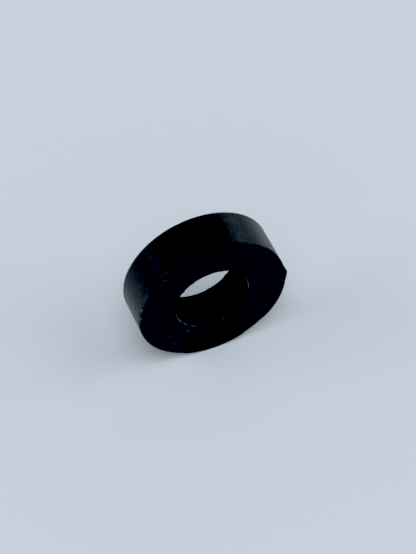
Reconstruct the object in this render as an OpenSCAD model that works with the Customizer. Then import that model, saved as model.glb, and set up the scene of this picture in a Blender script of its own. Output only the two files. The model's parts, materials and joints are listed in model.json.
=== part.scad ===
// Fence insulator: a plain black polymer ring that slips over a bolt, rod or
// stay and keeps a fence fitting clear of the metal it is fastened to. The real
// object is one solid piece, so the model has one node. The ring stands on its
// rim with its bore level: the bore runs along Y, the front face looks to -Y,
// +Z is up, and the origin is the centre of the bore at half thickness.

/* [Ring] */
// Outside diameter of the ring
ring_od = 28; // [22:0.5:40]
// Diameter of the through bore
bore_d = 14; // [8:0.5:18]
// Thickness of the ring, measured along the bore
ring_t = 8; // [5:0.5:14]

/* [Edges] */
// Width and depth of the 45 degree lead-in at each mouth of the bore
lead_in = 0.4; // [0.2:0.05:0.8]
// Radius that breaks the two outer edges of the rim
rim_edge_r = 0.25; // [0.1:0.05:0.5]

/* [Seam ridge] */
// Height of the moulding seam above the rim
seam_h = 0.45; // [0.1:0.05:0.6]
// Angle on each side of the seam over which its flanks run down to the rim
seam_spread = 9.5; // [6:0.5:11]
// Place of the seam, as an angle from the top of the ring towards +X
seam_angle = 85; // [0:0.5:359.5]

/* [Hidden] */

ring_r = ring_od / 2;
bore_r = bore_d / 2;
half_t = ring_t / 2;
// How deep the foot of the seam's section is sunk into the rim, so that the two fuse
seam_root = 1;
// How far a cutting tool runs past the face it cuts
overrun = 1;

// Half of a wall section: a rectangle from radius r_in to r_out, with its two outer corners rounded.
// X is the radius and Y runs along the bore.
module wall_section(r_in, r_out, half_height, corner_r) {
    translate([r_in, -half_height])
        square([r_out - corner_r - r_in, 2 * half_height]);
    translate([r_in, -half_height + corner_r])
        square([r_out - r_in, 2 * (half_height - corner_r)]);
    for (end = [-1, 1])
        translate([r_out - corner_r, end * (half_height - corner_r)])
            circle(r = corner_r, $fn = 48);
}

// The solid disc that the bore is taken out of.
module ring_blank() {
    rotate_extrude($fn = 180)
        wall_section(0, ring_r, half_t, rim_edge_r);
}

// A low ridge along the whole rim, where the halves of the mould meet.
// Its flanks run down from the crest and cut the rim at seam_spread on each side.
module seam_ridge() {
    crest = ring_r + seam_h;
    foot = ring_r - seam_root;
    linear_extrude(height = ring_t, center = true)
        polygon([
            [crest, 0],
            [ring_r * cos(seam_spread), ring_r * sin(seam_spread)],
            [foot * cos(seam_spread), foot * sin(seam_spread)],
            [foot * cos(seam_spread), -foot * sin(seam_spread)],
            [ring_r * cos(seam_spread), -ring_r * sin(seam_spread)],
        ]);
}

// What the bore takes away: a true cylinder, and a cone at each mouth.
module bore_cutter() {
    cylinder(r = bore_r, h = ring_t + 2 * overrun, center = true, $fn = 120);
    for (end = [0, 1])
        mirror([0, 0, end])
            translate([0, 0, half_t - lead_in])
                cylinder(
                    r1 = bore_r,
                    r2 = bore_r + lead_in + overrun,
                    h = lead_in + overrun,
                    $fn = 120
                );
}

// The whole insulator, turned from its own axis to stand on its rim.
module insulator_ring() {
    color([0.03, 0.03, 0.035])
        rotate([90, 0, 0])
            difference() {
                union() {
                    ring_blank();
                    rotate([0, 0, 90 - seam_angle]) seam_ridge();
                }
                bore_cutter();
            }
}

insulator_ring();
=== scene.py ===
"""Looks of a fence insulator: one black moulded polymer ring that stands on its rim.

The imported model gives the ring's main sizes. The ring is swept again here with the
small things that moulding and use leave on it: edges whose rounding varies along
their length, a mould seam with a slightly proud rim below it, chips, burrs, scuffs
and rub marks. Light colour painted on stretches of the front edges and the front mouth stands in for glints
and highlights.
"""

import json
import logging
import math
from dataclasses import dataclass
from enum import Enum

import bmesh
import bpy
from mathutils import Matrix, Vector

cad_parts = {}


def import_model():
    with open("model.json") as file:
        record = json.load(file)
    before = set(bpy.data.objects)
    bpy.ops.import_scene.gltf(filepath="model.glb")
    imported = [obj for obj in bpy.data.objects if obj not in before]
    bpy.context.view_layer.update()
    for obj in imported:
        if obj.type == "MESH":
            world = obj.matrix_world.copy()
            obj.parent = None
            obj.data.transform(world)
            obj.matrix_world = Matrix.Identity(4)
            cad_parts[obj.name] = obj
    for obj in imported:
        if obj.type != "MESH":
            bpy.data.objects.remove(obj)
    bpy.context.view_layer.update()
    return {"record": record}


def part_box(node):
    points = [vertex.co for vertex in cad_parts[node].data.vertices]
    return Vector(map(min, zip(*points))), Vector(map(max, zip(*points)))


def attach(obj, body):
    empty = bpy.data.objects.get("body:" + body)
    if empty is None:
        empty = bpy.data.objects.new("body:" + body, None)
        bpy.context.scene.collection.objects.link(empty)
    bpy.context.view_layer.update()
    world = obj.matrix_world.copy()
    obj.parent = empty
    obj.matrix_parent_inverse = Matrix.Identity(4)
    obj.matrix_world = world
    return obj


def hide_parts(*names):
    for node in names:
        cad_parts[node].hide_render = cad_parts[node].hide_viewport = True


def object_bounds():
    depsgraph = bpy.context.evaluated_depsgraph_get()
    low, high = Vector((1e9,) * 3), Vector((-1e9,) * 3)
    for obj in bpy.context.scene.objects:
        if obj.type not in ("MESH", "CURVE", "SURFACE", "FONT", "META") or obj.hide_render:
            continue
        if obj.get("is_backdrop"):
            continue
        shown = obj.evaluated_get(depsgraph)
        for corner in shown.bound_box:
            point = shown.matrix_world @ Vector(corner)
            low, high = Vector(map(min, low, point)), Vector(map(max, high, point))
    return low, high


LOG = logging.getLogger("fence_insulator")
RING_NODE = "insulator_ring"
BODY = "root"
MM = 0.001

Socket = bpy.types.NodeSocket
Value = Socket | float | int


class Zone(Enum):
    """The surfaces that the ring's wall section runs over."""

    RIM = "rim"
    FACE = "face"
    MOUTH = "mouth"
    BORE = "bore"


class Trait(str, Enum):
    """Attributes that the section hands to the swept ring and to its finish."""

    WORN = "section_worn"
    KEEN = "section_keen"
    OUTWARD = "outward"
    EDGE = "edge"
    WEAR = "wear"
    LIP = "lip"
    # Light colour on the edges: whitening, and painted glints and highlights.
    PAINTED_GLINT_AND_WHITENING = "scuff"
    ON_RIM = "on_rim"
    ON_FACE = "on_face"
    TURN = "turn"


class Draw(float, Enum):
    """What is added to the seed for each of the ring's noises, so that no two are alike."""

    OUT_OF_ROUND = 3.7
    CHIPS = 7.3
    BURRS = 19.1
    RIPPLE = 31.9
    BEADS = 43.0


# ---------------------------------------------------------------------------
# Node trees


@dataclass
class NodeSketch:
    """Adds nodes to a tree and joins them, so that a rule reads as a formula."""

    tree: bpy.types.NodeTree
    count: int = 0
    columns: int = 24
    spacing: tuple[int, int] = (180, 240)

    def add(self, kind: str, label: str = "", **settings: object) -> bpy.types.Node:
        """Adds one node.

        Args:
            kind: The node's type name.
            label: What the node is for.
            **settings: Properties of the node, by name.

        Returns:
            The new node.
        """
        node = self.tree.nodes.new(kind)
        node.label = label
        self.count += 1
        across, down = self.spacing
        node.location = (across * (self.count % self.columns), -down * (self.count // self.columns))
        for name, value in settings.items():
            setattr(node, name, value)
        return node

    def feed(self, target: Socket, value: object) -> None:
        """Joins a socket to a target, or sets the target to a plain value.

        Args:
            target: The input to feed.
            value: A socket, or a value that the input can hold.
        """
        if isinstance(value, bpy.types.NodeSocket):
            self.tree.links.new(value, target)
        else:
            target.default_value = value

    def math(self, operation: str, *values: Value, clamp: bool = False, label: str = "") -> Socket:
        """Adds a Math node.

        Args:
            operation: The name of the operation.
            *values: One, two or three sockets or numbers.
            clamp: Whether the result is kept between 0 and 1.
            label: What the node is for.

        Returns:
            The result.
        """
        node = self.add("ShaderNodeMath", label, operation=operation, use_clamp=clamp)
        for target, value in zip(node.inputs, values):
            self.feed(target, value)
        return node.outputs[0]

    def total(self, *values: Value) -> Socket:
        """Adds two or more numbers.

        Args:
            *values: Sockets or numbers.

        Returns:
            Their sum.
        """
        result = values[0]
        for value in values[1:]:
            result = self.math("ADD", result, value)
        return result

    def product(self, *values: Value) -> Socket:
        """Multiplies two or more numbers.

        Args:
            *values: Sockets or numbers.

        Returns:
            Their product.
        """
        result = values[0]
        for value in values[1:]:
            result = self.math("MULTIPLY", result, value)
        return result

    def vector(self, x: Value, y: Value, z: Value) -> Socket:
        """Makes a vector from three numbers.

        Args:
            x: The first part.
            y: The second part.
            z: The third part.

        Returns:
            The vector.
        """
        node = self.add("ShaderNodeCombineXYZ")
        for target, value in zip(node.inputs, (x, y, z)):
            self.feed(target, value)
        return node.outputs[0]

    def parts(self, vector: Socket) -> tuple[Socket, Socket, Socket]:
        """Splits a vector.

        Args:
            vector: The vector.

        Returns:
            Its three parts.
        """
        node = self.add("ShaderNodeSeparateXYZ")
        self.feed(node.inputs[0], vector)
        return node.outputs[0], node.outputs[1], node.outputs[2]

    def vector_math(
        self,
        operation: str,
        first: object,
        second: object = None,
        scale: Value = 1.0,
    ) -> Socket:
        """Adds a Vector Math node.

        Args:
            operation: The name of the operation.
            first: The first vector.
            second: The second vector, for an operation that has one.
            scale: The number for SCALE.

        Returns:
            The result: a number for LENGTH, or else a vector.
        """
        node = self.add("ShaderNodeVectorMath", operation=operation)
        self.feed(node.inputs[0], first)
        if second is not None:
            self.feed(node.inputs[1], second)
        if operation == "SCALE":
            self.feed(node.inputs["Scale"], scale)
        return node.outputs["Value" if operation == "LENGTH" else "Vector"]

    def ramp(
        self,
        value: Value,
        low: Value,
        high: Value,
        to_low: Value = 0.0,
        to_high: Value = 1.0,
    ) -> Socket:
        """Maps a number smoothly from one range to another, and holds it at both ends.

        Args:
            value: The number.
            low: Where the first range starts.
            high: Where the first range ends.
            to_low: What the start becomes.
            to_high: What the end becomes.

        Returns:
            The mapped number.
        """
        node = self.add("ShaderNodeMapRange", interpolation_type="SMOOTHSTEP")
        for target, number in zip(node.inputs, (value, low, high, to_low, to_high)):
            self.feed(target, number)
        return node.outputs["Result"]

    def noise(
        self,
        vector: Socket,
        scale: Value,
        seed: Value,
        detail: float = 2.0,
        roughness: float = 0.5,
        label: str = "",
    ) -> Socket:
        """Adds a smooth noise whose pattern is fixed by a seed.

        Args:
            vector: Where the noise is read.
            scale: How many features there are in one unit.
            seed: The place along the fourth direction, which picks the pattern.
            detail: How many finer layers are added.
            roughness: How strong the finer layers are.
            label: What the noise is for.

        Returns:
            The noise, about 0.5 on average.
        """
        node = self.add("ShaderNodeTexNoise", label, noise_dimensions="4D")
        self.feed(node.inputs["Vector"], vector)
        self.feed(node.inputs["W"], seed)
        self.feed(node.inputs["Scale"], scale)
        self.feed(node.inputs["Detail"], detail)
        self.feed(node.inputs["Roughness"], roughness)
        return node.outputs[0]


# ---------------------------------------------------------------------------
# The ring


@dataclass(frozen=True)
class RingSize:
    """The ring's main sizes in metres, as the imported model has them."""

    outer_radius: float
    bore_radius: float
    thickness: float
    lead_in: float

    @classmethod
    def from_frame(cls, record: dict) -> "RingSize":
        """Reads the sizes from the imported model.

        Args:
            record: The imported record, for the bore that it states.

        Returns:
            The sizes.
        """
        low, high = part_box(RING_NODE)
        thickness = high.y - low.y
        bore = next(mount for mount in record["mounts"] if mount["name"] == "bore")
        return cls(
            outer_radius=(high.z - low.z) / 2,
            bore_radius=bore["dims"]["r_mm"] * MM,
            thickness=thickness,
            lead_in=(thickness - bore["dims"]["length_mm"] * MM) / 2,
        )


class Edge(Enum):
    """The six edges of the wall section, in the order in which the section is walked."""

    FRONT_RIM = 0
    BACK_RIM = 1
    BACK_MOUTH = 2
    BACK_BORE = 3
    FRONT_BORE = 4
    FRONT_MOUTH = 5


@dataclass(frozen=True)
class Corner:
    """One edge of the wall section, and the surface that follows it."""

    edge: Edge
    place: Vector
    outward: Vector
    reach: tuple[float, float]
    bend_steps: int
    zone: Zone
    flat_steps: int


@dataclass(frozen=True)
class SectionPoint:
    """One point of the wall section, with the surface that it lies on."""

    place: Vector
    zone: Zone


@dataclass(frozen=True)
class Bends:
    """How far each kind of edge is rounded, along the surface before it and the one after it."""

    on_face: float
    on_rim: float
    at_back: float
    at_mouth: float
    at_bore: float


@dataclass(frozen=True)
class WallSection:
    """The ring's wall cut through: X is the radius and Y runs along the bore, front first.

    The points of a flat surface are drawn towards its ends by `crowding`. What stands out of
    an edge leans along the bore by `lean`, against 1 across it.
    """

    size: RingSize
    bends: Bends
    rim_steps: int = 22
    face_steps: int = 17
    cone_steps: int = 6
    bore_steps: int = 16
    outer_steps: int = 8
    inner_steps: int = 4
    crowding: float = 0.55
    lean: float = 0.8

    def corners(self) -> list[Corner]:
        """Lists the section's corners.

        Returns:
            The corners, in the order of the edges.
        """
        size = self.size
        bends = self.bends
        half = size.thickness / 2
        mouth = size.bore_radius + size.lead_in
        throat = half - size.lead_in
        outer = size.outer_radius
        bore = size.bore_radius
        out = self.outer_steps
        into = self.inner_steps
        at_back = (bends.at_back, bends.at_back)
        at_mouth = (bends.at_mouth, bends.at_mouth)
        at_bore = (bends.at_bore, bends.at_bore)
        rim, face, cone, wall = self.rim_steps, self.face_steps, self.cone_steps, self.bore_steps
        return [
            self._corner(Edge.FRONT_RIM, outer, -half, (bends.on_face, bends.on_rim), out, Zone.RIM, rim),
            self._corner(Edge.BACK_RIM, outer, half, at_back, out, Zone.FACE, face),
            self._corner(Edge.BACK_MOUTH, mouth, half, at_mouth, into, Zone.MOUTH, cone),
            self._corner(Edge.BACK_BORE, bore, throat, at_bore, into, Zone.BORE, wall),
            self._corner(Edge.FRONT_BORE, bore, -throat, at_bore, into, Zone.MOUTH, cone),
            self._corner(Edge.FRONT_MOUTH, mouth, -half, at_mouth, into, Zone.FACE, face),
        ]

    def _corner(
        self,
        edge: Edge,
        radius: float,
        height: float,
        reach: tuple[float, float],
        bend_steps: int,
        zone: Zone,
        flat_steps: int,
    ) -> Corner:
        """Makes one corner, with the way out of the solid worked out from where it is.

        Args:
            edge: Which edge it is.
            radius: How far it is from the bore's axis.
            height: Where it is along the bore.
            reach: How far it is rounded, along the surface before it and the one after it.
            bend_steps: How many steps its rounding has.
            zone: The surface that follows it.
            flat_steps: How many steps that surface has.

        Returns:
            The corner.
        """
        away = 1.0 if radius == self.size.outer_radius else -1.0
        outward = Vector((away, math.copysign(self.lean, height))).normalized()
        return Corner(edge, Vector((radius, height)), outward, reach, bend_steps, zone, flat_steps)

    def points(self) -> list[SectionPoint]:
        """Walks round the section once.

        Returns:
            The points, in order. Each bend is shared between the surfaces on its two sides.
        """
        corners = self.corners()
        count = len(corners)
        arcs = [self._arc(corners, number) for number in range(count)]
        points = []
        for number, corner in enumerate(corners):
            arc = arcs[number]
            for step, place in enumerate(arc):
                before = step < (len(arc) - 1) / 2
                points.append(SectionPoint(place, corners[number - 1].zone if before else corner.zone))
            end = arcs[(number + 1) % count][0]
            for step in range(1, corner.flat_steps):
                share = step / corner.flat_steps
                crowded = (1 - math.cos(math.pi * share)) / 2
                eased = (1 - self.crowding) * share + self.crowding * crowded
                points.append(SectionPoint(arc[-1].lerp(end, eased), corner.zone))
        return points

    def _arc(self, corners: list[Corner], number: int) -> list[Vector]:
        """Rounds one corner with a quarter of an oval that meets both surfaces smoothly.

        Args:
            corners: All the corners.
            number: Which corner.

        Returns:
            Points on the arc, both ends included.
        """
        corner = corners[number]
        back = (corners[number - 1].place - corner.place).normalized() * corner.reach[0]
        ahead = (corners[(number + 1) % len(corners)].place - corner.place).normalized() * corner.reach[1]
        arc = []
        for step in range(corner.bend_steps + 1):
            turn = math.pi / 2 * step / corner.bend_steps
            arc.append(corner.place + back * (1 - math.sin(turn)) + ahead * (1 - math.cos(turn)))
        return arc


@dataclass(frozen=True)
class MouldSeam:
    """The mould's parting line along the rim, and the step below it where the rim is slightly proud."""

    angle: float = math.radians(85)
    height: float = 0.48 * MM
    flank: float = math.radians(9.5)
    sharpness: float = 1.25
    step_height: float = 0.19 * MM
    step_run: float = math.radians(53)
    step_sharpness: float = 5.0


@dataclass(frozen=True)
class EdgeMark:
    """A stretch of one edge that is burred, nicked, whitened or coloured with a painted highlight.

    It starts and ends at degrees from the top towards +X. Its rise is in millimetres, and
    less than nothing for a nick. Its light colour runs from 0 to 1, and a beaded one is broken up.
    On the front mouth and the front outer edge that light colour is painted highlight.
    """

    edge: Edge
    start: float
    end: float
    rise: float
    whitening_and_highlight: float
    is_beaded: bool = True


@dataclass(frozen=True)
class EdgeWear:
    """How far the ring's edges depart from clean ones.

    The keen runs are degrees from the top towards +X. There the outer edges are as sharp as
    the mould left them, and elsewhere they are worn. Each range is the part of a noise over
    which its marks grow to their full height, and a rate is a noise's features in a metre.
    """

    worn: Bends = Bends(
        on_face=0.36 * MM, on_rim=0.28 * MM, at_back=0.12 * MM, at_mouth=0.09 * MM, at_bore=0.07 * MM
    )
    keen: Bends = Bends(
        on_face=0.12 * MM, on_rim=0.08 * MM, at_back=0.05 * MM, at_mouth=0.04 * MM, at_bore=0.03 * MM
    )
    reach: float = 0.40 * MM
    bore_reach: float = 0.20 * MM
    lip_height: float = 0.010 * MM
    lip_place: float = 0.50 * MM
    lip_width: float = 0.28 * MM
    chip_depth: float = 0.04 * MM
    chip_size: float = 0.9 * MM
    burr_height: float = 0.11 * MM
    burr_size: float = 1.0 * MM
    bead_size: float = 0.55 * MM
    ripple: float = 0.012 * MM
    ripple_size: float = 2.2 * MM
    waviness: float = 0.030 * MM
    wave_rate: float = 70.0
    drift_rate: float = 160.0
    drift_range: tuple[float, float] = (0.50, 0.85)
    bead_range: tuple[float, float] = (0.40, 0.62)
    chip_range: tuple[float, float] = (0.60, 0.76)
    burr_range: tuple[float, float] = (0.50, 0.72)
    keen_runs: tuple[tuple[float, float], ...] = ((58.0, 136.0), (152.0, 206.0))
    marks: tuple[EdgeMark, ...] = (
        # Bright arcs round the front mouth: raised burrs whose light colour is a painted highlight.
        EdgeMark(Edge.FRONT_BORE, -157, -122, 0.07, 0.95),
        EdgeMark(Edge.FRONT_BORE, -125, -92, 0.06, 0.55, is_beaded=False),
        EdgeMark(Edge.FRONT_BORE, 60, 95, 0.06, 0.7, is_beaded=False),
        EdgeMark(Edge.FRONT_BORE, 146, 178, 0.05, 0.32),
        # Front outer edge on the left: a painted glint, two painted specks of light, a nick, and a faint
        # painted light line along the edge.
        EdgeMark(Edge.FRONT_RIM, -48, -44, 0.0, 0.2),
        EdgeMark(Edge.FRONT_RIM, -76.5, -74.5, 0.0, 1.0, is_beaded=False),
        EdgeMark(Edge.FRONT_RIM, -81, -79, -0.05, 0.0, is_beaded=False),
        EdgeMark(Edge.FRONT_RIM, -86, -84, 0.0, 0.9, is_beaded=False),
        EdgeMark(Edge.FRONT_RIM, -92, -58, 0.0, 0.16, is_beaded=False),
        # A faint lighter line along the lower right of the front outer edge and round the whole back outer
        # edge, and a nick on the back edge.
        EdgeMark(Edge.FRONT_RIM, 98, 152, 0.0, 0.20, is_beaded=False),
        EdgeMark(Edge.BACK_RIM, -179, 179, 0.0, 0.20, is_beaded=False),
        EdgeMark(Edge.BACK_RIM, 128, 146, -0.10, 0.0),
        # Lighter stretches of the back mouth, one with small raised beads.
        EdgeMark(Edge.BACK_BORE, -176, -40, 0.0, 0.22, is_beaded=False),
        EdgeMark(Edge.BACK_BORE, 20, 70, 0.04, 0.3),
    )
    seed: int = 11


@dataclass(frozen=True)
class SectionWire:
    """The wall section as a closed wire that carries what the sweep needs to know."""

    size: RingSize
    wear: EdgeWear

    def build(self) -> bpy.types.Object:
        """Makes the wire.

        Returns:
            An object whose mesh is the closed wire.
        """
        corners = WallSection(self.size, self.wear.worn).corners()
        worn = WallSection(self.size, self.wear.worn).points()
        keen = WallSection(self.size, self.wear.keen).points()
        nearest = [min(corners, key=lambda corner: (corner.place - point.place).length) for point in worn]
        nearness = [self._nearness(point, corner) for point, corner in zip(worn, nearest)]
        mesh = bpy.data.meshes.new("wall_section")
        count = len(worn)
        edges = [(number, (number + 1) % count) for number in range(count)]
        mesh.from_pydata([point.place.to_3d() for point in worn], edges, [])
        self._write_vectors(mesh, Trait.WORN, [point.place for point in worn])
        self._write_vectors(mesh, Trait.KEEN, [point.place for point in keen])
        ways = [corner.outward * near for corner, near in zip(nearest, nearness)]
        self._write_vectors(mesh, Trait.OUTWARD, ways)
        self._write(mesh, Trait.EDGE, [float(corner.edge.value) for corner in nearest])
        self._write(mesh, Trait.WEAR, nearness)
        self._write(mesh, Trait.LIP, [self._lip(point) for point in worn])
        self._write(mesh, Trait.ON_RIM, [float(point.zone is Zone.RIM) for point in worn])
        self._write(mesh, Trait.ON_FACE, [float(point.zone is Zone.FACE) for point in worn])
        wire = bpy.data.objects.new("wall_section", mesh)
        bpy.context.scene.collection.objects.link(wire)
        return wire

    def _write(self, mesh: bpy.types.Mesh, trait: Trait, values: list[float]) -> None:
        """Stores a number for each of the wire's points."""
        layer = mesh.attributes.new(trait.value, "FLOAT", "POINT")
        layer.data.foreach_set("value", values)

    def _write_vectors(self, mesh: bpy.types.Mesh, trait: Trait, values: list[Vector]) -> None:
        """Stores a flat vector for each of the wire's points."""
        layer = mesh.attributes.new(trait.value, "FLOAT_VECTOR", "POINT")
        layer.data.foreach_set("vector", [part for value in values for part in value.to_3d()])

    def _nearness(self, point: SectionPoint, corner: Corner) -> float:
        """Tells how near a point is to an edge.

        Args:
            point: The point.
            corner: The edge.

        Returns:
            1 on the edge, falling to 0 well away from it.
        """
        is_bore = corner.edge in (Edge.FRONT_BORE, Edge.BACK_BORE)
        reach = self.wear.bore_reach if is_bore else self.wear.reach
        return math.exp(-(((corner.place - point.place).length / reach) ** 2))

    def _lip(self, point: SectionPoint) -> float:
        """Gives the raised lip that runs along the rim, a little behind its front edge.

        Args:
            point: The point.

        Returns:
            The share of the lip's height at the point, from 0 to 1.
        """
        if point.zone is not Zone.RIM:
            return 0.0
        from_front = point.place.y + self.size.thickness / 2
        return math.exp(-(((from_front - self.wear.lip_place) / self.wear.lip_width) ** 2))


@dataclass(frozen=True)
class RingSweep:
    """The rule that turns the wire into the ring, as a Geometry Nodes tree.

    The seam and the wear of the outer edges fade out over `rim_depth` below the rim. Every
    stretch of marks fades out over `soft_end` at both of its ends.
    """

    size: RingSize
    seam: MouldSeam
    wear: EdgeWear
    segments: int = 840
    soft_end: float = math.radians(4)
    rim_depth: tuple[float, float] = (0.4 * MM, 1.6 * MM)

    def inputs(self) -> dict[str, float | int]:
        """Lists the tree's named sizes.

        Returns:
            Each input's name and value.
        """
        return {
            "Segments Around": self.segments,
            "Outer Radius": self.size.outer_radius,
            "Seam Angle": self.seam.angle,
            "Seam Height": self.seam.height,
            "Seam Flank": self.seam.flank,
            "Seam Sharpness": self.seam.sharpness,
            "Step Height": self.seam.step_height,
            "Step Run": self.seam.step_run,
            "Step Sharpness": self.seam.step_sharpness,
            "Lip Height": self.wear.lip_height,
            "Chip Depth": self.wear.chip_depth,
            "Chip Size": self.wear.chip_size,
            "Burr Height": self.wear.burr_height,
            "Burr Size": self.wear.burr_size,
            "Bead Size": self.wear.bead_size,
            "Ripple Height": self.wear.ripple,
            "Ripple Size": self.wear.ripple_size,
            "Waviness": self.wear.waviness,
            "Seed": self.wear.seed,
        }

    def tree(self) -> bpy.types.NodeTree:
        """Builds the tree.

        Returns:
            The tree, with a wire in and the ring out.
        """
        tree = bpy.data.node_groups.new("ring_sweep", "GeometryNodeTree")
        face = tree.interface
        face.new_socket("Geometry", in_out="INPUT", socket_type="NodeSocketGeometry")
        for name, value in self.inputs().items():
            kind = "NodeSocketInt" if isinstance(value, int) else "NodeSocketFloat"
            face.new_socket(name, in_out="INPUT", socket_type=kind)
        face.new_socket("Material", in_out="INPUT", socket_type="NodeSocketMaterial")
        face.new_socket("Geometry", in_out="OUTPUT", socket_type="NodeSocketGeometry")
        sketch = NodeSketch(tree)
        given = sketch.add("NodeGroupInput").outputs
        swept = self._swept(sketch, given)
        turn = sketch.math("MULTIPLY", self._trait(sketch, Trait.TURN, "FLOAT"), math.tau, label="angle")
        clean = self._clean(sketch, turn)
        rise, whitening_and_highlight = self._marks(sketch, given, turn, clean)
        # Store the edge marks' light colour, much of it painted glints and highlights.
        marked = sketch.add("GeometryNodeStoreNamedAttribute", "scuffed edges", domain="POINT")
        sketch.feed(marked.inputs["Geometry"], swept)
        sketch.feed(marked.inputs["Name"], Trait.PAINTED_GLINT_AND_WHITENING.value)
        sketch.feed(marked.inputs["Value"], whitening_and_highlight)
        placed = sketch.add("GeometryNodeSetPosition", "lay the section round the bore")
        sketch.feed(placed.inputs["Geometry"], marked.outputs[0])
        sketch.feed(placed.inputs["Position"], self._place(sketch, given, turn, clean, rise))
        rippled = sketch.add("GeometryNodeSetPosition", "slight unevenness of the skin")
        sketch.feed(rippled.inputs["Geometry"], placed.outputs[0])
        sketch.feed(rippled.inputs["Offset"], self._ripple(sketch, given))
        smooth = sketch.add("GeometryNodeSetShadeSmooth")
        sketch.feed(smooth.inputs["Geometry"], rippled.outputs[0])
        real = sketch.add("GeometryNodeRealizeInstances")
        sketch.feed(real.inputs[0], smooth.outputs[0])
        dressed = sketch.add("GeometryNodeSetMaterial")
        sketch.feed(dressed.inputs["Geometry"], real.outputs[0])
        sketch.feed(dressed.inputs["Material"], given["Material"])
        out = sketch.add("NodeGroupOutput")
        sketch.feed(out.inputs[0], dressed.outputs[0])
        return tree

    def _trait(self, sketch: NodeSketch, trait: Trait, kind: str) -> Socket:
        """Reads a named attribute.

        Args:
            sketch: The tree.
            trait: Which attribute.
            kind: Its data type.

        Returns:
            The attribute.
        """
        node = sketch.add("GeometryNodeInputNamedAttribute", trait.value, data_type=kind)
        sketch.feed(node.inputs["Name"], trait.value)
        return node.outputs["Attribute"]

    def _swept(self, sketch: NodeSketch, given: bpy.types.bpy_prop_collection) -> Socket:
        """Sweeps the wire round a circle, which joins every section to the next.

        Args:
            sketch: The tree.
            given: The tree's inputs.

        Returns:
            A closed band of quads that still has to be placed.
        """
        outline = sketch.add("GeometryNodeMeshToCurve", "the wire as a curve")
        sketch.feed(outline.inputs[0], given["Geometry"])
        circle = sketch.add("GeometryNodeCurvePrimitiveCircle", "path round the bore")
        sketch.feed(circle.inputs["Resolution"], given["Segments Around"])
        sketch.feed(circle.inputs["Radius"], given["Outer Radius"])
        along = sketch.add("GeometryNodeSplineParameter")
        marked = sketch.add("GeometryNodeStoreNamedAttribute", "share of a turn", domain="POINT")
        sketch.feed(marked.inputs["Geometry"], circle.outputs[0])
        sketch.feed(marked.inputs["Name"], Trait.TURN.value)
        sketch.feed(marked.inputs["Value"], along.outputs["Factor"])
        sweep = sketch.add("GeometryNodeCurveToMesh")
        sketch.feed(sweep.inputs["Curve"], marked.outputs[0])
        sketch.feed(sweep.inputs["Profile Curve"], outline.outputs[0])
        return sweep.outputs[0]

    def _clean(self, sketch: NodeSketch, turn: Socket) -> Socket:
        """Gives every point its place on a ring without marks, where the noises are read.

        Args:
            sketch: The tree.
            turn: The angle from the top towards +X.

        Returns:
            The place, with the bore along Y and the top at +Z.
        """
        radius, height, _ = sketch.parts(self._trait(sketch, Trait.WORN, "FLOAT_VECTOR"))
        sine = sketch.math("SINE", turn)
        cosine = sketch.math("COSINE", turn)
        return sketch.vector(sketch.product(radius, sine), height, sketch.product(radius, cosine))

    def _grain(
        self,
        sketch: NodeSketch,
        given: bpy.types.bpy_prop_collection,
        place: Socket,
        size: str,
        draw: Draw,
        detail: float,
    ) -> Socket:
        """Adds a noise whose features have the size that one of the tree's inputs gives.

        Args:
            sketch: The tree.
            given: The tree's inputs.
            place: Where the noise is read.
            size: The input that holds the size.
            draw: Which noise it is.
            detail: How many finer layers are added.

        Returns:
            The noise, about 0.5 on average.
        """
        rate = sketch.math("DIVIDE", 1.0, given[size])
        seed = sketch.math("ADD", given["Seed"], draw.value)
        return sketch.noise(place, rate, seed, detail, 0.5, size)

    def _stretch(self, sketch: NodeSketch, turn: Socket, start: float, end: float) -> Socket:
        """Picks a stretch of the turn, with soft ends.

        Args:
            sketch: The tree.
            turn: The angle from the top towards +X.
            start: Where the stretch starts, in degrees.
            end: Where it ends.

        Returns:
            1 on the stretch and 0 off it.
        """
        middle = math.radians((start + end) / 2)
        half = math.radians((end - start) / 2)
        past = sketch.math("WRAP", sketch.math("SUBTRACT", turn, middle), math.pi, -math.pi)
        fade = min(half, self.soft_end)
        return sketch.ramp(sketch.math("ABSOLUTE", past), half - fade, half, 1.0, 0.0)

    def _marks(
        self,
        sketch: NodeSketch,
        given: bpy.types.bpy_prop_collection,
        turn: Socket,
        clean: Socket,
    ) -> tuple[Socket, Socket]:
        """Lays out the marks that lie on known stretches of the edges.

        Args:
            sketch: The tree.
            given: The tree's inputs.
            turn: The angle from the top towards +X.
            clean: Each point's place on a ring without marks.

        Returns:
            How far each point stands out, and how light its colour is: whitening, and painted glints and
            highlights.
        """
        number = self._trait(sketch, Trait.EDGE, "FLOAT")
        near = sketch.math("POWER", self._trait(sketch, Trait.WEAR, "FLOAT"), 2.0)
        bead_grain = self._grain(sketch, given, clean, "Bead Size", Draw.BEADS, 1.0)
        beads = sketch.ramp(bead_grain, *self.wear.bead_range, 0.12, 1.0)
        rises = []
        whitenings_and_highlights = []
        for mark in self.wear.marks:
            stretch = self._stretch(sketch, turn, mark.start, mark.end)
            here = sketch.math("COMPARE", number, float(mark.edge.value), 0.1)
            share = sketch.product(stretch, here, *([beads] if mark.is_beaded else []))
            rises.append(sketch.product(share, near, mark.rise * MM))
            # The light colour of each mark; on the front edge and front mouth it is painted highlight.
            whitenings_and_highlights.append(sketch.product(share, mark.whitening_and_highlight))
        whitening_and_highlight = sketch.math("MULTIPLY", sketch.total(*whitenings_and_highlights), near, clamp=True)
        return sketch.total(*rises), whitening_and_highlight

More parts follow.
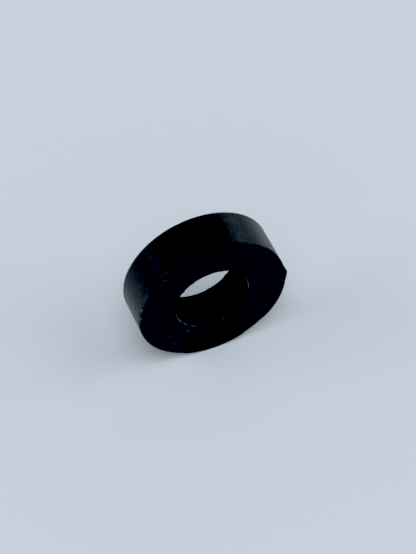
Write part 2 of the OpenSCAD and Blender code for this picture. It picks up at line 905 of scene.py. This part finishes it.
    def _seam_rise(self, sketch: NodeSketch, given: bpy.types.bpy_prop_collection, turn: Socket) -> Socket:
        """Gives how far the rim stands out: the seam's crest, and the step that runs out below it.

        Args:
            sketch: The tree.
            given: The tree's inputs.
            turn: The angle from the top towards +X.

        Returns:
            The rise above the rim's radius.
        """
        past = sketch.math("WRAP", sketch.math("SUBTRACT", turn, given["Seam Angle"]), math.pi, -math.pi)
        off = sketch.math("ABSOLUTE", past)
        fall = sketch.math("DIVIDE", off, given["Seam Flank"], clamp=True)
        crest = sketch.math("POWER", sketch.math("SUBTRACT", 1.0, fall), given["Seam Sharpness"])
        below = sketch.math("GREATER_THAN", past, 0.0)
        share = sketch.math("DIVIDE", past, given["Step Run"], clamp=True)
        run_out = sketch.math("POWER", share, given["Step Sharpness"])
        step = sketch.product(below, sketch.math("SUBTRACT", 1.0, run_out))
        step_rise = sketch.product(step, given["Step Height"])
        spare = sketch.math("SUBTRACT", given["Seam Height"], step_rise)
        return sketch.total(step_rise, sketch.product(crest, spare))

    def _keenness(
        self,
        sketch: NodeSketch,
        given: bpy.types.bpy_prop_collection,
        turn: Socket,
        clean: Socket,
        is_outer: Socket,
    ) -> Socket:
        """Tells how sharp the edges are: keen along the keen runs, and drifting elsewhere.

        Args:
            sketch: The tree.
            given: The tree's inputs.
            turn: The angle from the top towards +X.
            clean: Each point's place on a ring without marks.
            is_outer: 1 at the outer edges and on the rim.

        Returns:
            0 for a worn edge and 1 for a keen one.
        """
        drift = sketch.noise(clean, self.wear.drift_rate, given["Seed"], label="how rounded the edge is")
        drifting = sketch.ramp(drift, *self.wear.drift_range, 0.0, 0.5)
        runs = [self._stretch(sketch, turn, *run) for run in self.wear.keen_runs]
        sharp = sketch.product(is_outer, sketch.total(*runs))
        return sketch.math("MINIMUM", sketch.total(drifting, sharp), 1.0)

    def _place(
        self,
        sketch: NodeSketch,
        given: bpy.types.bpy_prop_collection,
        turn: Socket,
        clean: Socket,
        marks: Socket,
    ) -> Socket:
        """Gives every point its place on the ring.

        Args:
            sketch: The tree.
            given: The tree's inputs.
            turn: The angle from the top towards +X.
            clean: Each point's place on a ring without marks.
            marks: How far the marks stand out of the edges.

        Returns:
            The place, with the bore along Y and the top at +Z.
        """
        worn = self._trait(sketch, Trait.WORN, "FLOAT_VECTOR")
        keen = self._trait(sketch, Trait.KEEN, "FLOAT_VECTOR")
        outward = self._trait(sketch, Trait.OUTWARD, "FLOAT_VECTOR")
        below_rim = sketch.math("SUBTRACT", given["Outer Radius"], sketch.parts(worn)[0])
        is_outer = sketch.ramp(below_rim, *self.rim_depth, 1.0, 0.0)
        rise = self._seam_rise(sketch, given, turn)
        section = sketch.add("ShaderNodeMix", "worn to keen", data_type="VECTOR")
        sketch.feed(section.inputs["Factor"], self._keenness(sketch, given, turn, clean, is_outer))
        sketch.feed(section.inputs[4], worn)
        sketch.feed(section.inputs[5], keen)
        chip_grain = self._grain(sketch, given, clean, "Chip Size", Draw.CHIPS, 3.0)
        chips = sketch.ramp(chip_grain, *self.wear.chip_range)
        burr_grain = self._grain(sketch, given, clean, "Burr Size", Draw.BURRS, 2.0)
        burrs = sketch.ramp(burr_grain, *self.wear.burr_range)
        cut = sketch.product(chips, given["Chip Depth"], is_outer)
        raised = sketch.product(burrs, given["Burr Height"], sketch.math("SUBTRACT", 1.0, is_outer))
        stand_out = sketch.math("SUBTRACT", sketch.total(raised, marks), cut)
        shift = sketch.vector_math("SCALE", outward, scale=stand_out)
        marked = sketch.vector_math("ADD", section.outputs[1], shift)
        radius, height, _ = sketch.parts(marked)
        slow_seed = sketch.math("ADD", given["Seed"], Draw.OUT_OF_ROUND.value)
        slow = sketch.noise(clean, self.wear.wave_rate, slow_seed, 1.0, 0.5, "out of round")
        wave = sketch.product(sketch.math("SUBTRACT", slow, 0.5), 2.0, given["Waviness"])
        lip = sketch.product(self._trait(sketch, Trait.LIP, "FLOAT"), given["Lip Height"])
        reach = sketch.total(radius, sketch.product(is_outer, sketch.total(rise, wave)), lip)
        sine = sketch.math("SINE", turn)
        cosine = sketch.math("COSINE", turn)
        return sketch.vector(sketch.product(reach, sine), height, sketch.product(reach, cosine))

    def _ripple(self, sketch: NodeSketch, given: bpy.types.bpy_prop_collection) -> Socket:
        """Gives the small offsets of a moulded skin that isn't quite flat.

        Args:
            sketch: The tree.
            given: The tree's inputs.

        Returns:
            The offset of each point.
        """
        place = sketch.add("GeometryNodeInputPosition").outputs[0]
        normal = sketch.add("GeometryNodeInputNormal").outputs[0]
        grain = self._grain(sketch, given, place, "Ripple Size", Draw.RIPPLE, 2.0)
        bumps = sketch.math("SUBTRACT", grain, 0.5)
        height = sketch.product(bumps, 2.0, given["Ripple Height"])
        return sketch.vector_math("SCALE", normal, scale=height)


@dataclass(frozen=True)
class Scuff:
    """A rubbed patch on an end face: its middle and size in millimetres, and its turn in degrees."""

    x: float
    y: float
    z: float
    length: float
    width: float
    turn: float
    strength: float


@dataclass(frozen=True)
class Scratches:
    """Fine parallel scratches: their turn in radians, and how coarse they are along and across."""

    turn: float
    tilt: float
    along: float
    across: float


@dataclass(frozen=True)
class Grain:
    """A noise on the polymer: its features in a millimetre, and what it adds to the finish's seed."""

    scale: float
    draw: float
    detail: float = 3.0
    roughness: float = 0.6

    def lay(self, sketch: NodeSketch, place: Socket, seed: float, label: str) -> Socket:
        """Adds the noise to a material.

        Args:
            sketch: The material's tree.
            place: The point in millimetres.
            seed: The finish's seed.
            label: What the noise is for.

        Returns:
            The noise, about 0.5 on average.
        """
        return sketch.noise(place, self.scale, seed + self.draw, self.detail, self.roughness, label)


@dataclass(frozen=True)
class Patches:
    """A grain of which only the higher parts show: at its least up to `low`, and full from `high`."""

    grain: Grain
    low: float
    high: float
    least: float = 0.0

    def lay(self, sketch: NodeSketch, place: Socket, seed: float, label: str) -> Socket:
        """Adds the patches to a material.

        Args:
            sketch: The material's tree.
            place: The point in millimetres.
            seed: The finish's seed.
            label: What the patches are.

        Returns:
            How strong they are at each point, from their least to 1.
        """
        noise = self.grain.lay(sketch, place, seed, label)
        return sketch.ramp(noise, self.low, self.high, self.least, 1.0)


@dataclass(frozen=True)
class PolymerFinish:
    """Black moulded polymer: a satin rim, dull end faces, and edges that handling has dulled.

    The gloss drops where the surface is seen edge on. `low_angle` says where that starts, where
    it ends and what is left. `film_off_rim` and `mottle_off_rim` are the shares of the film and
    the mottle that the other surfaces have.
    """

    name: str = "black_polymer"
    colour: tuple[float, float, float] = (0.0028, 0.0029, 0.0034)
    dusty_colour: tuple[float, float, float] = (0.020, 0.021, 0.024)
    # Light grey of the rubbed patches and of the edge marks; on the edges it is mostly painted glints and
    # highlights.
    scuff_and_glint_colour: tuple[float, float, float] = (0.300, 0.305, 0.330)
    rim_roughness: float = 0.25
    face_roughness: float = 0.48
    bore_roughness: float = 0.62
    edge_roughness: float = 0.44
    gloss: float = 0.435
    face_gloss: float = 0.50
    low_angle: tuple[float, float, float] = (0.70, 0.87, 0.35)
    sheen_drift: float = 0.16
    speck_weight: float = 0.50
    edge_weight: float = 0.50
    dust_dulling: float = 0.18
    scuff_dulling: float = 0.30
    film: float = 0.50
    film_off_rim: float = 0.15
    mottle_off_rim: float = 0.10
    mottle_depth: float = 0.014 * MM
    draw_line_depth: float = 0.0035 * MM
    draw_line_rate: tuple[float, float] = (4.0, 0.25)
    grain_depth: float = 0.0008 * MM
    dust_depth: float = 0.0030 * MM
    scratches: tuple[Scratches, ...] = (
        Scratches(0.5, 0.0, 0.35, 7.0),
        Scratches(1.9, 0.3, 0.30, 9.0),
        Scratches(2.7, 0.6, 0.45, 8.0),
    )
    hairs: Patches = Patches(Grain(1.0, 0.0, 1.0, 0.5), 0.70, 0.76)
    handled: Patches = Patches(Grain(0.22, 5.0), 0.50, 0.68)
    specks: Patches = Patches(Grain(3.2, 9.0, 2.0, 0.5), 0.73, 0.80)
    edge_wear: Patches = Patches(Grain(1.4, 13.0), 0.50, 0.75)
    broken_up: Patches = Patches(Grain(3.6, 17.0, 2.0), 0.40, 0.62)
    patchy: Patches = Patches(Grain(2.2, 19.0), 0.36, 0.60, least=0.40)
    sheen_grain: Grain = Grain(0.55, 21.0)
    film_grain: Grain = Grain(1.15, 27.0, 2.0, 0.55)
    draw_lines: Grain = Grain(1.0, 31.0, 2.0)
    fine_grain: Grain = Grain(14.0, 41.0, 2.0)
    mottle: Grain = Grain(1.2, 43.0, 2.0, 0.5)
    scuffs: tuple[Scuff, ...] = (
        Scuff(-4.8, -4.0, -6.5, 1.1, 0.35, 10, 0.30),
        Scuff(-8.3, -4.0, -6.5, 0.9, 0.40, -20, 0.18),
        Scuff(-7.6, -4.0, -8.9, 0.8, 0.35, 30, 0.15),
        Scuff(-9.0, -4.0, 9.6, 1.6, 0.50, 15, 0.16),
        Scuff(5.8, -4.0, 9.4, 2.4, 0.30, -32, 0.08),
        Scuff(8.2, 4.0, -7.4, 2.0, 0.40, 40, 0.14),
        Scuff(-6.0, 4.0, 9.2, 1.4, 0.45, -25, 0.14),
    )
    seed: float = 4.0

    def build(self) -> bpy.types.Material:
        """Makes the material.

        Returns:
            The material, with all its pattern made by nodes.
        """
        material = bpy.data.materials.new(self.name)
        material.use_nodes = True
        material.node_tree.nodes.clear()
        sketch = NodeSketch(material.node_tree)
        shader = sketch.add("ShaderNodeBsdfPrincipled", "polymer")
        shader.inputs["IOR"].default_value = 1.5
        out = sketch.add("ShaderNodeOutputMaterial")
        sketch.feed(out.inputs["Surface"], shader.outputs[0])
        metres = sketch.add("ShaderNodeTexCoord").outputs["Object"]
        place = sketch.vector_math("SCALE", metres, scale=1 / MM)
        on_rim = self._trait(sketch, Trait.ON_RIM)
        on_face = self._trait(sketch, Trait.ON_FACE)
        wear = self._trait(sketch, Trait.WEAR)
        dust = self._dust(sketch, place, wear)
        scuffs_and_glints = self._rubbing_and_glints(sketch, place, on_face)
        self._colour(sketch, shader, dust, scuffs_and_glints)
        self._sheen(sketch, shader, place, on_rim, on_face, wear, dust, scuffs_and_glints)
        self._relief(sketch, shader, place, on_rim, dust)
        return material

    def _trait(self, sketch: NodeSketch, trait: Trait) -> Socket:
        """Reads one of the ring's own attributes."""
        node = sketch.add("ShaderNodeAttribute", trait.value, attribute_name=trait.value)
        return node.outputs["Fac"]

    def _dust(self, sketch: NodeSketch, place: Socket, wear: Socket) -> Socket:
        """Finds where the skin is finely scratched or dusty.

        Args:
            sketch: The material's tree.
            place: The point in millimetres.
            wear: 1 on the edges.

        Returns:
            How marked each point is, from 0 to 1.
        """
        lines = 0.0
        for number, scratches in enumerate(self.scratches):
            mapping = sketch.add("ShaderNodeMapping", "scratch direction")
            sketch.feed(mapping.inputs["Vector"], place)
            mapping.inputs["Rotation"].default_value = (0.0, scratches.turn, scratches.tilt)
            mapping.inputs["Scale"].default_value = (scratches.along, scratches.across, scratches.across)
            hairs = self.hairs.lay(sketch, mapping.outputs[0], self.seed + number, "scratches")
            lines = sketch.math("MAXIMUM", lines, hairs)
        handled = self.handled.lay(sketch, place, self.seed, "handled areas")
        specks = self.specks.lay(sketch, place, self.seed, "specks")
        edge_wear = self.edge_wear.lay(sketch, place, self.seed, "edge wear")
        marks = sketch.total(
            sketch.product(lines, handled),
            sketch.product(specks, self.speck_weight),
            sketch.product(wear, edge_wear, self.edge_weight),
        )
        return sketch.math("MINIMUM", marks, 1.0)

    def _rubbing_and_glints(self, sketch: NodeSketch, place: Socket, on_face: Socket) -> Socket:
        """Finds the rubbed patches on the end faces and the light colour of the edge marks, much of which is
        painted glints and highlights.

        Args:
            sketch: The material's tree.
            place: The point in millimetres.
            on_face: 1 on the end faces.

        Returns:
            How rubbed each point is, with the painted edge highlights, from 0 to 1.
        """
        patches = 0.0
        for scuff in self.scuffs:
            mapping = sketch.add("ShaderNodeMapping", "scuff", vector_type="TEXTURE")
            sketch.feed(mapping.inputs["Vector"], place)
            mapping.inputs["Location"].default_value = (scuff.x, scuff.y, scuff.z)
            mapping.inputs["Rotation"].default_value = (0.0, math.radians(scuff.turn), 0.0)
            mapping.inputs["Scale"].default_value = (scuff.length / 2, 1.0, scuff.width / 2)
            away = sketch.vector_math("LENGTH", mapping.outputs[0])
            patches = sketch.total(patches, sketch.ramp(away, 0.2, 1.3, scuff.strength, 0.0))
        broken_up = self.broken_up.lay(sketch, place, self.seed, "broken up")
        rubbed = sketch.product(patches, broken_up, on_face)
        patchy = self.patchy.lay(sketch, place, self.seed, "patchy")
        # Edge marks' light colour: painted glints and highlights on the front edges and mouth, lighter lines
        # elsewhere.
        edges = sketch.product(self._trait(sketch, Trait.PAINTED_GLINT_AND_WHITENING), patchy)
        return sketch.math("MINIMUM", sketch.total(rubbed, edges), 1.0)

    def _colour(self, sketch: NodeSketch, shader: bpy.types.Node, dust: Socket, scuffs_and_glints: Socket) -> None:
        """Lightens the black where it is dusty and rubbed, and paints glints and highlights on the edges.

        Args:
            sketch: The material's tree.
            shader: The shader.
            dust: How finely marked each point is.
            scuffs_and_glints: How rubbed each point is, and its edge light colour, much of it painted
                highlight.
        """
        below = sketch.add("ShaderNodeMix", "dust on black", data_type="RGBA")
        sketch.feed(below.inputs["Factor"], dust)
        below.inputs[6].default_value = (*self.colour, 1.0)
        below.inputs[7].default_value = (*self.dusty_colour, 1.0)
        # The light grey of the rubbed patches and of the painted edge glints and highlights.
        above = sketch.add("ShaderNodeMix", "scuffs", data_type="RGBA")
        sketch.feed(above.inputs["Factor"], scuffs_and_glints)
        sketch.feed(above.inputs[6], below.outputs[2])
        above.inputs[7].default_value = (*self.scuff_and_glint_colour, 1.0)
        sketch.feed(shader.inputs["Base Color"], above.outputs[2])

    def _sheen(
        self,
        sketch: NodeSketch,
        shader: bpy.types.Node,
        place: Socket,
        on_rim: Socket,
        on_face: Socket,
        wear: Socket,
        dust: Socket,
        scuffs_and_glints: Socket,
    ) -> None:
        """Sets how dull each surface is, and lets its sheen drift from place to place.

        Args:
            sketch: The material's tree.
            shader: The shader.
            place: The point in millimetres.
            on_rim: 1 on the rim.
            on_face: 1 on the end faces.
            wear: 1 on the edges.
            dust: How finely marked each point is.
            scuffs_and_glints: How rubbed each point is, and its edge light colour, much of it painted
                highlight.
        """
        base = sketch.total(
            self.bore_roughness,
            sketch.product(on_rim, self.rim_roughness - self.bore_roughness),
            sketch.product(on_face, self.face_roughness - self.bore_roughness),
        )
        drift = self.sheen_grain.lay(sketch, place, self.seed, "sheen drift")
        varied = sketch.total(
            base,
            sketch.product(sketch.math("SUBTRACT", drift, 0.5), self.sheen_drift),
            sketch.product(dust, self.dust_dulling),
            sketch.product(scuffs_and_glints, self.scuff_dulling),
        )
        mix = sketch.add("ShaderNodeMix", "edges dulled by handling", data_type="FLOAT")
        sketch.feed(mix.inputs["Factor"], wear)
        sketch.feed(mix.inputs[2], varied)
        sketch.feed(mix.inputs[3], self.edge_roughness)
        sketch.feed(shader.inputs["Roughness"], mix.outputs[0])
        film = self.film_grain.lay(sketch, place, self.seed, "thin film left by the mould")
        uneven = sketch.product(sketch.math("SUBTRACT", film, 0.5), self.film)
        filmed = sketch.total(self.film_off_rim, sketch.product(on_rim, 1.0 - self.film_off_rim))
        gloss = sketch.total(
            self.gloss,
            sketch.product(uneven, filmed),
            sketch.product(on_face, self.face_gloss - self.gloss),
        )
        facing = sketch.add("ShaderNodeLayerWeight").outputs["Facing"]
        start, end, left = self.low_angle
        kept = sketch.ramp(facing, start, end, 1.0, left)
        sketch.feed(shader.inputs["Specular IOR Level"], sketch.product(gloss, kept))

    def _relief(
        self,
        sketch: NodeSketch,
        shader: bpy.types.Node,
        place: Socket,
        on_rim: Socket,
        dust: Socket,
    ) -> None:
        """Adds the relief that is too fine for the mesh.

        Args:
            sketch: The material's tree.
            shader: The shader.
            place: The point in millimetres.
            on_rim: 1 on the rim.
            dust: How finely marked each point is.
        """
        x, y, z = sketch.parts(place)
        across, along = self.draw_line_rate
        drawn = sketch.vector(sketch.product(x, across), sketch.product(y, along), sketch.product(z, across))
        draw_lines = self.draw_lines.lay(sketch, drawn, self.seed, "lines drawn by the mould")
        fine_grain = self.fine_grain.lay(sketch, place, self.seed, "fine grain")
        mottle = self.mottle.lay(sketch, place, self.seed, "mottle")
        mottling = sketch.total(self.mottle_off_rim, sketch.product(on_rim, 1.0 - self.mottle_off_rim))
        layers = (
            (sketch.product(mottle, mottling), self.mottle_depth),
            (sketch.product(draw_lines, on_rim), self.draw_line_depth),
            (fine_grain, self.grain_depth),
            (dust, self.dust_depth),
        )
        normal = None
        for height, depth in layers:
            bump = sketch.add("ShaderNodeBump")
            sketch.feed(bump.inputs["Height"], height)
            bump.inputs["Distance"].default_value = depth
            bump.inputs["Strength"].default_value = 1.0
            if normal is not None:
                sketch.feed(bump.inputs["Normal"], normal)
            normal = bump.outputs[0]
        sketch.feed(shader.inputs["Normal"], normal)


@dataclass(frozen=True)
class InsulatorRing:
    """The whole object: one solid ring of black polymer."""

    size: RingSize
    seam: MouldSeam
    wear: EdgeWear
    finish: PolymerFinish

    def build(self) -> bpy.types.Object:
        """Sweeps, closes and dresses the ring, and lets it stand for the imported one.

        Returns:
            The finished ring.
        """
        wire = SectionWire(self.size, self.wear).build()
        sweep = RingSweep(self.size, self.seam, self.wear)
        modifier = wire.modifiers.new("ring_sweep", "NODES")
        modifier.node_group = sweep.tree()
        values = {**sweep.inputs(), "Material": self.finish.build()}
        for item in modifier.node_group.interface.items_tree:
            if item.in_out == "INPUT" and item.name in values:
                modifier[item.identifier] = values[item.name]
        mesh = self._plain_mesh(wire)
        ring = bpy.data.objects.new("insulator_ring_moulded", mesh)
        bpy.context.scene.collection.objects.link(ring)
        bpy.data.objects.remove(wire)
        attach(ring, BODY)
        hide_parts(RING_NODE)
        return ring

    def _plain_mesh(self, wire: bpy.types.Object) -> bpy.types.Mesh:
        """Turns the modifier's result into a plain closed mesh.

        Args:
            wire: The object that carries the modifier.

        Returns:
            The mesh, with its faces pointing out and only the attributes that its finish reads.
        """
        bpy.context.view_layer.update()
        graph = bpy.context.evaluated_depsgraph_get()
        mesh = bpy.data.meshes.new_from_object(wire.evaluated_get(graph), depsgraph=graph)
        mesh.name = "insulator_ring_moulded"
        wire.modifiers.clear()
        shape = bmesh.new()
        shape.from_mesh(mesh)
        bmesh.ops.recalc_face_normals(shape, faces=shape.faces)
        shape.to_mesh(mesh)
        shape.free()
        for trait in (Trait.WORN, Trait.KEEN, Trait.OUTWARD, Trait.EDGE, Trait.LIP, Trait.TURN):
            layer = mesh.attributes.get(trait.value)
            if layer is not None:
                mesh.attributes.remove(layer)
        return mesh


# ---------------------------------------------------------------------------
# The studio


@dataclass(frozen=True)
class Bearing:
    """A direction from the ring: degrees from +Y towards +X, and degrees above the floor."""

    azimuth: float
    elevation: float

    def direction(self) -> Vector:
        """Gives the direction.

        Returns:
            A unit vector.
        """
        turn = math.radians(self.azimuth)
        lift = math.radians(self.elevation)
        return Vector((math.sin(turn) * math.cos(lift), math.cos(turn) * math.cos(lift), math.sin(lift)))


@dataclass(frozen=True)
class Softbox:
    """A flat soft light that faces the ring: it is `wide` and `tall` degrees across as seen from there."""

    name: str
    bearing: Bearing
    distance: float
    wide: float
    tall: float
    brightness: float

    def build(self, tint: tuple[float, float, float]) -> None:
        """Hangs the light.

        Args:
            tint: The colour of all the studio's light.
        """
        width = 2 * self.distance * math.tan(math.radians(self.wide / 2))
        height = 2 * self.distance * math.tan(math.radians(self.tall / 2))
        lamp = bpy.data.lights.new(self.name, "AREA")
        lamp.shape = "RECTANGLE"
        lamp.size = width
        lamp.size_y = height
        lamp.energy = self.brightness * math.pi * width * height
        lamp.color = tint
        light = bpy.data.objects.new(self.name, lamp)
        direction = self.bearing.direction()
        light.location = direction * self.distance
        light.rotation_mode = "QUATERNION"
        light.rotation_quaternion = direction.to_track_quat("Z", "Y")
        light.visible_camera = False
        bpy.context.scene.collection.objects.link(light)


@dataclass(frozen=True)
class FloorFinish:
    """Smooth pale painted board."""

    name: str = "pale_board"
    colour: tuple[float, float, float] = (0.80, 0.80, 0.80)
    roughness: float = 0.8
    gloss: float = 0.2

    def build(self) -> bpy.types.Material:
        """Makes the material.

        Returns:
            The floor's material.
        """
        material = bpy.data.materials.new(self.name)
        material.use_nodes = True
        material.node_tree.nodes.clear()
        sketch = NodeSketch(material.node_tree)
        shader = sketch.add("ShaderNodeBsdfPrincipled", "board")
        shader.inputs["Base Color"].default_value = (*self.colour, 1.0)
        shader.inputs["Roughness"].default_value = self.roughness
        shader.inputs["Specular IOR Level"].default_value = self.gloss
        out = sketch.add("ShaderNodeOutputMaterial")
        sketch.feed(out.inputs["Surface"], shader.outputs[0])
        return material


@dataclass(frozen=True)
class Studio:
    """The plain floor, the pale surround, the soft lights and the camera.

    The surround's levels change over these ranges: from wall to palest over `palest_range`, from
    floor to wall over `wall_range` and from wall to ceiling over `ceiling_range`. The last two
    are the upward part of a unit direction. The first is the sum of the way to either side, the
    way to the right and the way to the back, each times its part of `palest_way`.

    The camera's offset is to its right, up and back from the centre of the ring's front face.
    """

    floor_radius: float = 12.0
    tint: tuple[float, float, float] = (0.902, 1.0, 1.112)
    floor_level: float = 0.63
    wall_level: float = 0.67
    palest_level: float = 0.97
    ceiling_level: float = 0.05
    palest_way: tuple[float, float, float] = (0.75, 0.14, 0.66)
    palest_range: tuple[float, float] = (0.66, 0.98)
    wall_range: tuple[float, float] = (0.06, 0.24)
    ceiling_range: tuple[float, float] = (0.46, 0.61)
    softboxes: tuple[Softbox, ...] = (
        Softbox("softbox_right", Bearing(110.0, 31.0), 8.0, wide=46.0, tall=60.0, brightness=1.26),
        Softbox("softbox_left", Bearing(-80.0, 33.0), 8.0, wide=38.0, tall=18.0, brightness=2.64),
        Softbox("softbox_overhead", Bearing(-157.0, 65.5), 8.0, wide=32.0, tall=44.0, brightness=2.90),
    )
    camera_azimuth: float = -22.6
    camera_elevation: float = 50.34
    camera_lens: float = 121.8
    camera_offset: tuple[float, float, float] = (-0.000875, 0.0041174, 0.3326568)
    black_point: tuple[float, float, float] = (0.0435, 0.0430, 0.0422)

    def build(self, size: RingSize, floor_height: float) -> None:
        """Sets the whole studio up.

        Args:
            size: The ring's sizes, for the point that the camera is set out from.
            floor_height: How high the floor is.
        """
        self._floor(floor_height)
        self._surround()
        for softbox in self.softboxes:
            softbox.build(self.tint)
            LOG.info("light %s", softbox.name)
        self._camera(Vector((0.0, -size.thickness / 2, 0.0)))
        self._print()

    def _floor(self, height: float) -> None:
        """Lays the floor.

        Args:
            height: How high it is.
        """
        mesh = bpy.data.meshes.new("floor")
        shape = bmesh.new()
        bmesh.ops.create_circle(shape, cap_ends=True, segments=96, radius=self.floor_radius)
        bmesh.ops.translate(shape, verts=shape.verts, vec=(0.0, 0.0, height))
        shape.to_mesh(mesh)
        shape.free()
        mesh.materials.append(FloorFinish().build())
        floor = bpy.data.objects.new("floor", mesh)
        bpy.context.scene.collection.objects.link(floor)
        floor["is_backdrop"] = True

    def _surround(self) -> None:
        """Lights the scene from all round: pale walls, palest behind on each side, and a dim ceiling."""
        world = bpy.data.worlds.new("surround")
        world.use_nodes = True
        sketch = NodeSketch(world.node_tree)
        background = world.node_tree.nodes["Background"]
        direction = sketch.add("ShaderNodeTexCoord").outputs["Generated"]
        aside, behind, rise = sketch.parts(direction)
        either_side, to_right, to_back = self.palest_way
        askew = sketch.total(
            sketch.product(sketch.math("ABSOLUTE", aside), either_side),
            sketch.product(aside, to_right),
            sketch.product(behind, to_back),
        )
        wall = sketch.ramp(askew, *self.palest_range, self.wall_level, self.palest_level)
        is_wall = sketch.ramp(rise, *self.wall_range)
        above_floor = sketch.math("SUBTRACT", wall, self.floor_level)
        lower = sketch.total(self.floor_level, sketch.product(is_wall, above_floor))
        is_ceiling = sketch.ramp(rise, *self.ceiling_range)
        level = sketch.total(
            sketch.product(lower, sketch.math("SUBTRACT", 1.0, is_ceiling)),
            sketch.product(is_ceiling, self.ceiling_level),
        )
        background.inputs["Color"].default_value = (*self.tint, 1.0)
        sketch.feed(background.inputs["Strength"], level)
        bpy.context.scene.world = world

    def _camera(self, target: Vector) -> None:
        """Sets the camera.

        Args:
            target: The centre of the ring's front face.
        """
        turn = math.radians(self.camera_azimuth)
        lift = math.radians(self.camera_elevation)
        right = Vector((math.cos(turn), math.sin(turn), 0.0))
        back = Vector((math.sin(turn) * math.cos(lift), -math.cos(turn) * math.cos(lift), math.sin(lift)))
        upward = back.cross(right)
        across, rise, away = self.camera_offset
        lens = bpy.data.cameras.new("camera")
        lens.lens = self.camera_lens
        lens.sensor_width = 36.0
        lens.clip_start = 0.01
        lens.clip_end = 50.0
        camera = bpy.data.objects.new("camera", lens)
        camera.location = target + right * across + upward * rise + back * away
        camera.rotation_mode = "QUATERNION"
        camera.rotation_quaternion = back.to_track_quat("Z", "Y")
        bpy.context.scene.collection.objects.link(camera)
        bpy.context.scene.camera = camera

    def _print(self) -> None:
        """Sets a plain print with deep blacks."""
        view = bpy.context.scene.view_settings
        view.view_transform = "Standard"
        view.use_curve_mapping = True
        view.curve_mapping.black_level = self.black_point
        view.curve_mapping.update()


# ---------------------------------------------------------------------------
# Everything in order


def main() -> None:
    """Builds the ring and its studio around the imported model."""
    logging.basicConfig(level=logging.INFO, format="%(name)s: %(message)s")
    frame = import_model()
    size = RingSize.from_frame(frame["record"])
    LOG.info("sizes %s", size)
    ring = InsulatorRing(size, MouldSeam(), EdgeWear(), PolymerFinish()).build()
    LOG.info("ring %s: %d points, %d faces", ring.name, len(ring.data.vertices), len(ring.data.polygons))
    Studio().build(size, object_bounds()[0].z)


if __name__ == "__main__":
    main()
